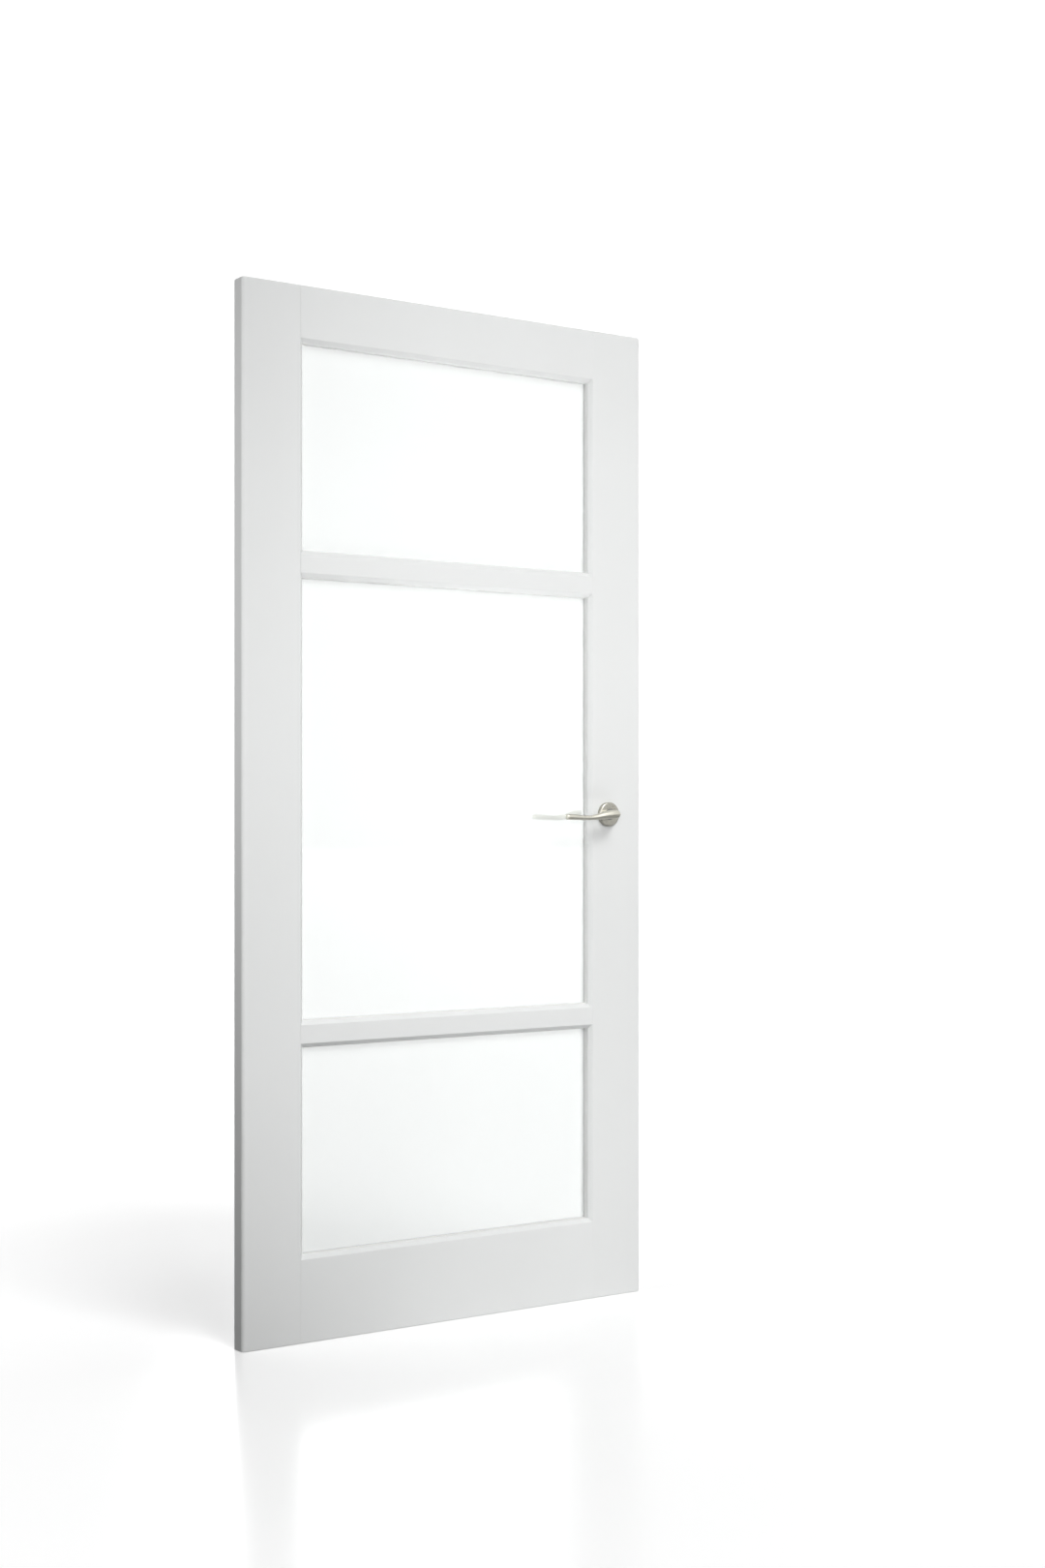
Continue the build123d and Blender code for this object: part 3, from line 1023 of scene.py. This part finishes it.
class DOOR_OT_latch(bpy.types.Operator):
    """Model the faceplate, its screws and the latch bolt in the lock edge"""

    bl_idname = "door.latch"
    bl_label = "Latch"

    def execute(self, context):
        name = "brushed_stainless"
        steel = shared(name, brushed_metal, (0.6, 0.6, 0.59), 0.3, (700, 700, 18))
        low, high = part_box("faceplate_screws")
        radius = (high.y - low.y) / 2
        foot = self.screw_mesh(Vector((high.x, 0, low.z + radius)), radius, 0.35)
        head = self.screw_mesh(Vector((high.x, 0, high.z - radius)), radius, 1.1)
        pieces = {
            "brushed_faceplate": (self.faceplate_mesh(), "lock_faceplate"),
            "sprung_bolt": (self.bolt_mesh(), "latch_bolt"),
            "cross_head_screws": (join([foot, head]), "faceplate_screws"),
        }
        for piece, (bm, node) in pieces.items():
            new_piece(piece, bm, "leaf", steel, [node])
        return {"FINISHED"}

    def faceplate_mesh(self):
        """A plate with round ends and a window for the bolt."""
        low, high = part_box("lock_faceplate")
        bolt_low, bolt_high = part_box("latch_bolt")
        gap, ease, near_middle = 0.00025, 0.00025, 0.002
        bm = bmesh.new()
        corners = [(low.y, low.z), (high.y, low.z), (high.y, high.z), (low.y, high.z)]
        bm.faces.new([bm.verts.new((low.x, y, z)) for y, z in corners])
        round_off(bm, bm.verts[:], high.y - END_FLAT, END_SEGMENTS, affect="VERTICES")
        split_at(bm, 1, bolt_low.y - gap)
        split_at(bm, 1, bolt_high.y + gap)
        split_at(bm, 2, bolt_low.z - gap)
        split_at(bm, 2, bolt_high.z + gap)
        middle = (bolt_low + bolt_high) / 2
        middle.x = low.x
        window = [
            face for face in bm.faces if (face.calc_center_median() - middle).length < near_middle
        ]
        bmesh.ops.delete(bm, geom=window, context="FACES")
        extrude_faces(bm, bm.faces[:], (high.x - low.x, 0, 0))
        soften(bm, ease)
        return bm

    def bolt_mesh(self):
        """The bolt with its slanted side towards the front face."""
        low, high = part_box("latch_bolt")
        nose, ease = 0.003, 0.0006
        outline = [
            (low.x, low.y),
            (LOCK_EDGE, low.y),
            (high.x, high.y - nose),
            (high.x, high.y),
            (low.x, high.y),
        ]
        bm = bmesh.new()
        section = bm.faces.new([bm.verts.new((x, y, low.z)) for x, y in outline])
        extrude_faces(bm, [section], (0, 0, high.z - low.z))
        soften(bm, ease, 3)
        return bm

    def screw_mesh(self, place, radius, turn):
        """A countersunk head with a cross recess, a hair proud of the plate."""
        proud, rim_width, recess, rim_height, head_height = 0.00012, 0.0003, 0.0014, 0.0003, 0.002
        centre = Matrix.Translation(place)

        def inwards(depth, squeeze):
            """Moves a loop into the edge of the door, then scales it about the screw's axis."""
            scale = Matrix.Diagonal((1, squeeze, squeeze, 1))
            return centre @ scale @ centre.inverted() @ Matrix.Translation((-depth, 0, 0))

        bm = bmesh.new()
        facing = Matrix.Translation(place + Vector((proud, 0, 0)))
        facing @= Matrix.Rotation(RIGHT_ANGLE, 4, "Y") @ Matrix.Rotation(turn, 4, "Z")
        rim = bmesh.ops.create_circle(
            bm, cap_ends=False, segments=24, radius=radius - rim_width, matrix=facing
        )
        rim_edges = edges_round(rim["verts"])
        arm, half = radius * 0.55, radius * 0.13
        outline = []
        for quarter_turn in range(4):
            spin = Matrix.Rotation(RIGHT_ANGLE * quarter_turn, 4, "Z")
            for x, y in ((arm, -half), (arm, half), (half, half)):
                outline.append(bm.verts.new(facing @ spin @ Vector((x, y, 0))))
        cross_edges = [bm.edges.new((outline[i - 1], outline[i])) for i in range(len(outline))]
        bmesh.ops.triangle_fill(bm, use_beauty=True, edges=rim_edges + cross_edges)
        floor = extrude_edges(bm, cross_edges, inwards(recess, 0.6))
        bmesh.ops.contextual_create(bm, geom=floor)
        widest = extrude_edges(bm, rim_edges, inwards(rim_height, 1.08))
        tip = extrude_edges(bm, widest, inwards(head_height, 0.5))
        bmesh.ops.contextual_create(bm, geom=tip)
        return bm


class DOOR_OT_inner_parts(bpy.types.Operator):
    """Give the hidden steel parts of the latch and the roses their finish"""

    bl_idname = "door.inner_parts"
    bl_label = "Inner parts"

    def execute(self, context):
        zinc = shared("zinc_plate", brushed_metal, (0.55, 0.56, 0.56), 0.35, (120, 120, 120))
        hidden = ("latch_case", "latch_follower", "spindle", "front_rose_plate", "back_rose_plate")
        for node in hidden:
            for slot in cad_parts[node].material_slots:
                slot.link = "OBJECT"
                slot.material = zinc
        return {"FINISHED"}


class DOOR_OT_stage(bpy.types.Operator):
    """Lay the plain floor, set the soft light and place the camera"""

    bl_idname = "door.stage"
    bl_label = "Stage"

    def execute(self, context):
        stage = context.scene.door_stage
        self.floor(stage)
        self.sky(stage)
        self.lights(stage)
        self.camera(stage)
        context.scene.view_settings.view_transform = "Standard"
        return {"FINISHED"}

    def floor(self, stage):
        """A plain pale floor under the leaf, wide enough for every view.

        The camera sees it lifted towards white by a painted glow, weakest near the leaf as a painted
        shadow.
        Other rays see a duller floor, darkest on the hinge side as painted shade, so little light bounces
        back there.
        """
        bm = bmesh.new()
        half_width, drop = 60.0, 0.0005
        bmesh.ops.create_grid(bm, x_segments=1, y_segments=1, size=half_width)
        bmesh.ops.translate(bm, verts=bm.verts, vec=(0, 0, -drop))
        mesh = bpy.data.meshes.new("floor")
        bm.to_mesh(mesh)
        bm.free()
        material, tree = new_material("pale_floor")
        cloud = pattern(tree, 0.6, detail=2.0)
        shade = tint(tree, cloud, scaled(stage.floor_colour, 0.995), stage.floor_colour)
        coords = add(tree, "TexCoord")
        centred = add(tree, "Mapping", Vector=coords.outputs["Object"], Location=(-0.4, 0, 0))
        distance = tree.nodes.new("ShaderNodeVectorMath")
        distance.operation = "LENGTH"
        tree.links.new(centred.outputs["Vector"], distance.inputs[0])
        reach = distance.outputs["Value"]
        # Painted shadow: near the leaf the glow drops to 64 %, so the floor looks shaded there
        glow = ramp(tree, reach, stage.floor_glow * 0.64, stage.floor_glow, 0.4, 1.6)
        seen = add(
            tree, "BsdfPrincipled", Base_Color=shade, Roughness=0.22,
            Emission_Color=(1, 1, 1, 1), Emission_Strength=glow,
        )
        places = add(tree, "SeparateXYZ", Vector=coords.outputs["Object"])
        # Painted shade: on the hinge side the floor that other rays see is nearly black, so the hinge
        # side of the leaf stays dark
        bounce = tint(
            tree,
            ramp(tree, places.outputs["X"], 0.0, 1.0, 0.0, 0.5),
            scaled(stage.floor_colour, 0.1),
            scaled(stage.floor_colour, 0.75),
        )
        lit = add(tree, "BsdfPrincipled", Base_Color=bounce, Roughness=0.5)
        ray = tree.nodes.new("ShaderNodeLightPath")
        mixed = mix_shaders(tree, ray.outputs["Is Camera Ray"], lit, seen)
        mesh.materials.append(finish_material(material, tree, mixed))
        new_object("floor", mesh)

    def sky(self, stage):
        """Weak light from all round; the camera and every reflection see a plain white backdrop."""
        world = bpy.data.worlds.new("studio")
        world.use_nodes = True
        tree = world.node_tree
        tree.nodes.clear()
        light = add(tree, "Background", Color=(1, 1, 1, 1), Strength=stage.sky)
        seen = add(tree, "Background", Color=(1, 1, 1, 1), Strength=stage.backdrop)
        ray = tree.nodes.new("ShaderNodeLightPath")
        direct = tree.nodes.new("ShaderNodeMath")
        direct.operation = "MAXIMUM"
        tree.links.new(ray.outputs["Is Camera Ray"], direct.inputs[0])
        tree.links.new(ray.outputs["Is Glossy Ray"], direct.inputs[1])
        mixed = mix_shaders(tree, direct.outputs[0], light, seen)
        output = tree.nodes.new("ShaderNodeOutputWorld")
        tree.links.new(mixed.outputs[0], output.inputs["Surface"])
        bpy.context.scene.world = world

    def lights(self, stage):
        """A broad main light from high in front, and soft boxes with grids, each aimed at one side."""
        breadth, slant = math.radians(28), math.radians(44)
        data = bpy.data.lights.new("main_light", "SUN")
        data.energy = stage.main_light
        data.angle = breadth
        lamp = new_object("main_light", data)
        lamp.rotation_euler = (slant, 0, 0)
        lamp.location = (0.5, -3.0, 4.0)
        # Each box has its place, the point it is aimed at, width and height, spread, roll and power
        boxes = {
            "right_box": ((1.4, -2.2, 2.1), (1.0, 0, 1.7), (2.0, 3.4), 30, -20, stage.right_power),
            "left_box": ((-1.3, -2.6, 1.5), (0.8, 0, 1.1), (1.2, 2.2), 30, 0, stage.left_power),
            "low_box": ((0.6, -0.95, 0.12), (0.6, 0, 1.85), (2.0, 0.4), 45, 0, stage.low_power),
            "edge_box": ((-2.2, 0.1, 1.9), (0.4, 0, 1.25), (1.2, 1.6), 70, 0, stage.edge_power),
            "back_box": ((1.6, 2.2, 1.35), (0.4, 0, 1.3), (1.2, 1.2), 40, 0, stage.back_power),
            "reveal_box": ((0.2, 0.25, 1.1), (0.85, 0, 1.1), (0.12, 1.9), 60, 0, stage.reveal_power),
            "head_box": ((0.6, 0.35, 0.08), (0.6, 0, 1.9), (0.8, 0.15), 45, 0, stage.head_power),
        }
        for name, values in boxes.items():
            self.soft_box(name, *values)

    def soft_box(self, name, place, target, size, spread, roll, power):
        """A rectangular light that the camera doesn't see."""
        data = bpy.data.lights.new(name, "AREA")
        data.shape = "RECTANGLE"
        data.size, data.size_y = size
        data.energy = power
        data.spread = math.radians(spread)
        lamp = new_object(name, data)
        aim = (Vector(target) - Vector(place)).to_track_quat("-Z", "Y").to_matrix().to_4x4()
        lamp.matrix_world = Matrix.Translation(place) @ aim @ Matrix.Rotation(math.radians(roll), 4, "Z")
        lamp.visible_camera = False

    def camera(self, stage):
        """The photograph's view: a level camera in front of the hinge side."""
        turn, distance, sideways, height = math.radians(34.8), 4.281, 0.5486, 1.047
        ahead = Vector((math.sin(turn), math.cos(turn), 0))
        right = Vector((math.cos(turn), -math.sin(turn), 0))
        near_corner = Vector((0, FRONT, 0))
        place = near_corner - ahead * distance + right * sideways
        place.z = height
        data = bpy.data.cameras.new("camera")
        data.lens = stage.lens
        data.sensor_width = 36.0
        data.shift_y = 0.0217
        data.clip_end = 200.0
        camera = new_object("camera", data)
        camera.location = place
        camera.rotation_euler = (RIGHT_ANGLE, 0, -turn)
        bpy.context.scene.camera = camera


OPERATORS = (
    DOOR_OT_frame_members,
    DOOR_OT_glazing_beads,
    DOOR_OT_glass,
    DOOR_OT_roses,
    DOOR_OT_levers,
    DOOR_OT_latch,
    DOOR_OT_inner_parts,
    DOOR_OT_stage,
)
SETTINGS = {
    "door_paint": DoorPaintSettings,
    "door_glass": DoorGlassSettings,
    "door_handle": DoorHandleSettings,
    "door_stage": DoorStageSettings,
}


class DOOR_PT_panel(bpy.types.Panel):
    """Lists the pieces of the door and their settings"""

    bl_idname = "DOOR_PT_panel"
    bl_label = "Glazed door"
    bl_space_type = "VIEW_3D"
    bl_region_type = "UI"
    bl_category = "Door"

    def draw(self, context):
        for operator in OPERATORS:
            self.layout.operator(operator.bl_idname)
        for name, group in SETTINGS.items():
            box = self.layout.box()
            settings = getattr(context.scene, name)
            for prop in group.__annotations__:
                box.prop(settings, prop)


def register():
    for cls in (*SETTINGS.values(), *OPERATORS, DOOR_PT_panel):
        bpy.utils.register_class(cls)
    for name, group in SETTINGS.items():
        setattr(bpy.types.Scene, name, PointerProperty(type=group))


def unregister():
    for name in SETTINGS:
        delattr(bpy.types.Scene, name)
    for cls in (DOOR_PT_panel, *OPERATORS, *SETTINGS.values()):
        bpy.utils.unregister_class(cls)


def main():
    register()
    for operator in OPERATORS:
        group, name = operator.bl_idname.split(".")
        getattr(getattr(bpy.ops, group), name)()


if __name__ == "__main__":
    main()
